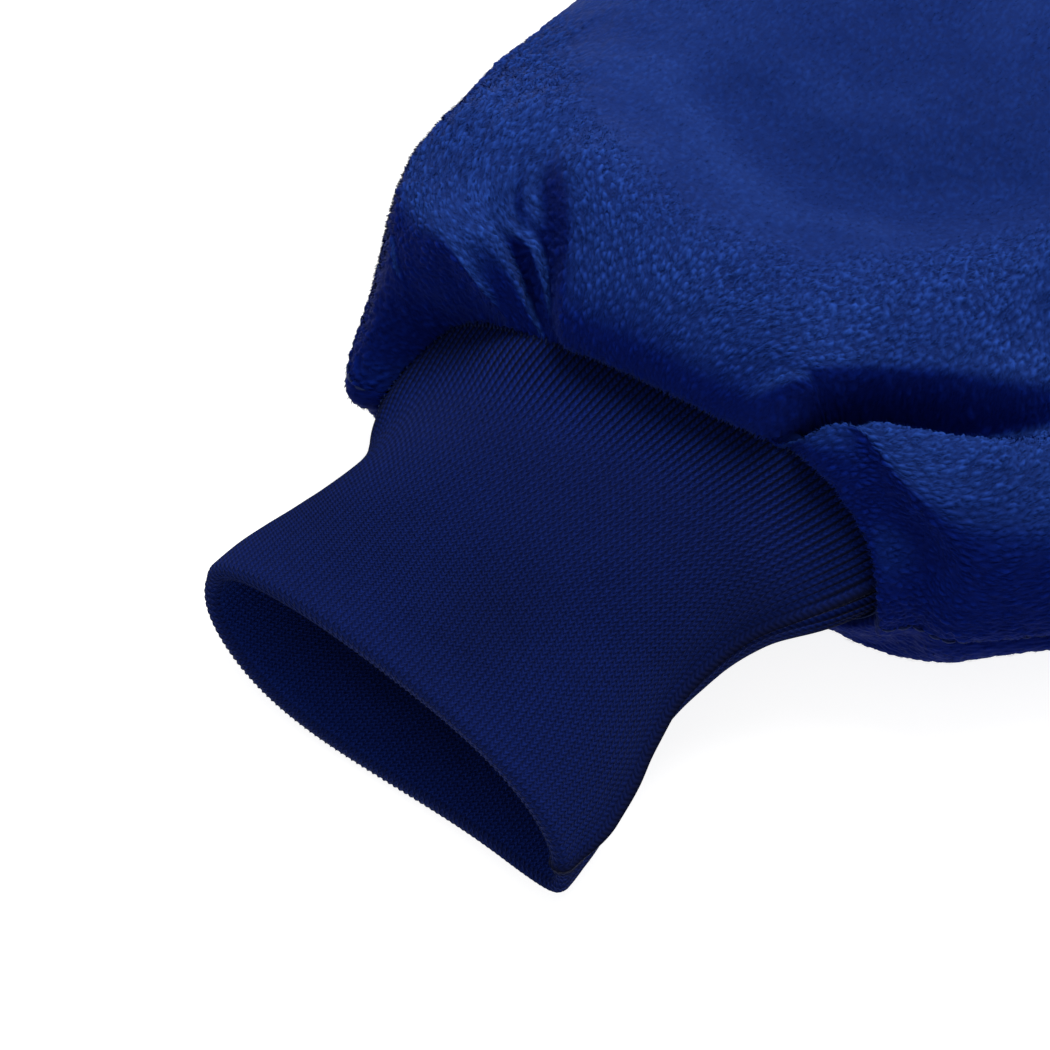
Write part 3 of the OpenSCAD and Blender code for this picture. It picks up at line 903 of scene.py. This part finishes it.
def stitches(name, node, a, b, out):
    """A row of stitches from each point of a to the matching one of b, bowed outward."""
    count, rings, sides = len(a), 7, 8
    t = np.linspace(0, 1, rings)
    bow_out = out[:, None] * (0.35 * np.sin(math.pi * t))[:, None]
    spine = a[:, None] * (1 - t[:, None]) + b[:, None] * t[:, None] + bow_out
    along = unit(b - a)
    side = unit(np.cross(along, out))
    rise = np.cross(side, along)
    thick = thread_d / 2 * (0.35 + 0.65 * np.sin(math.pi * np.clip(t, 0.08, 0.92)) ** 0.5)
    turn = np.arange(sides) * 2 * math.pi / sides
    circle = np.cos(turn)[:, None] * side[:, None, None] + np.sin(turn)[:, None] * rise[:, None, None]
    verts = spine[:, :, None] + circle * thick[:, None, None]
    start = np.arange(count)[:, None, None] * rings * sides
    k, j = np.meshgrid(np.arange(rings - 1), np.arange(sides), indexing="ij")
    after = (j + 1) % sides
    quad = np.stack([k * sides + j, k * sides + after, (k + 1) * sides + after, (k + 1) * sides + j], -1)
    quads = (start + quad.reshape(1, -1, 4)).reshape(-1, 4)
    caps = np.stack([np.arange(sides)[::-1], (rings - 1) * sides + np.arange(sides)])[None] + start
    caps = caps.reshape(-1, sides)

    def spread(all_faces):
        wide = int(math.ceil(math.sqrt(count)))
        cell = np.stack([np.arange(count) % wide, np.arange(count) // wide], -1)
        corner = np.stack([k, j, k + 1, j, k + 1, j + 1, k, j + 1], -1).reshape(1, -1, 2)
        corner = corner / (rings, sides + 1.0)
        place = (cell[:, None] + 0.05 + 0.9 * corner) / wide
        ends = np.repeat((cell[:, None] + 0.5) / wide, 2 * sides, axis=1)
        return np.concatenate([place.reshape(-1, 2), ends.reshape(-1, 2)])

    obj = made_mesh(name, verts.reshape(-1, 3), [quads, caps], thread, spread)
    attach(obj, "root")
    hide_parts(node)


def along_path(path):
    """Starts and ends of even stitches along a path."""
    run = np.concatenate([[0], np.cumsum(np.linalg.norm(np.diff(path, axis=0), axis=1))])
    at = np.arange(0, run[-1] - stitch_len, stitch_len + stitch_gap)
    return [np.stack([np.interp(w, run, path[:, k]) for k in range(3)], -1) for w in (at, at + stitch_len)]


# Round the body's edge, between the two plush panels.
back_edges = back_parts[0]
edge_path = np.concatenate([back_edges[8:, 0], back_edges[:7:-1, -1]])
a, b = along_path(edge_path - flat_out(edge_path) * 0.1)
stitches("side_seam_thread", "side_seam_stitches", a, b, flat_out(a))
# Round the lining bag's edge.
a, b = along_path(lining_edges + flat_out(lining_edges) * 0.4)
stitches("lining_seam_thread", "lining_seam_stitches", a, b, flat_out(a))
# Along the bottom of the cuff's channel, on its outer leg.
seam_column = int(round(seam_at / wale_w * steps))
outer_rows = slice(-len(leg_rows) + 3, -4)
closing = knit[outer_rows, seam_column] + knit_out[outer_rows, seam_column] * 0.15
a, b = along_path(closing)
seam_out = unit(knit_out[-len(leg_rows) // 2, seam_column])
stitches("cuff_closing_thread", "cuff_closing_stitches", a, b, np.broadcast_to(seam_out, a.shape))
# Over the neck seam, from the cuff to the plush.
around = np.concatenate([neck_ring(0.2, True, 130)[:-1], neck_ring(0.2, False, 130)[:0:-1]])
centre = np.array([cuff_x, 0, neck_z])
outward = unit((around - centre) * np.array([1, 0, 1]))
lean_in = np.array([0, 1.3, 0])
a, b = around - lean_in * 0.5, np.roll(around, -1, axis=0) + lean_in * 1.2
stitches("neck_seam_thread", "neck_seam_stitches", a, b, outward)
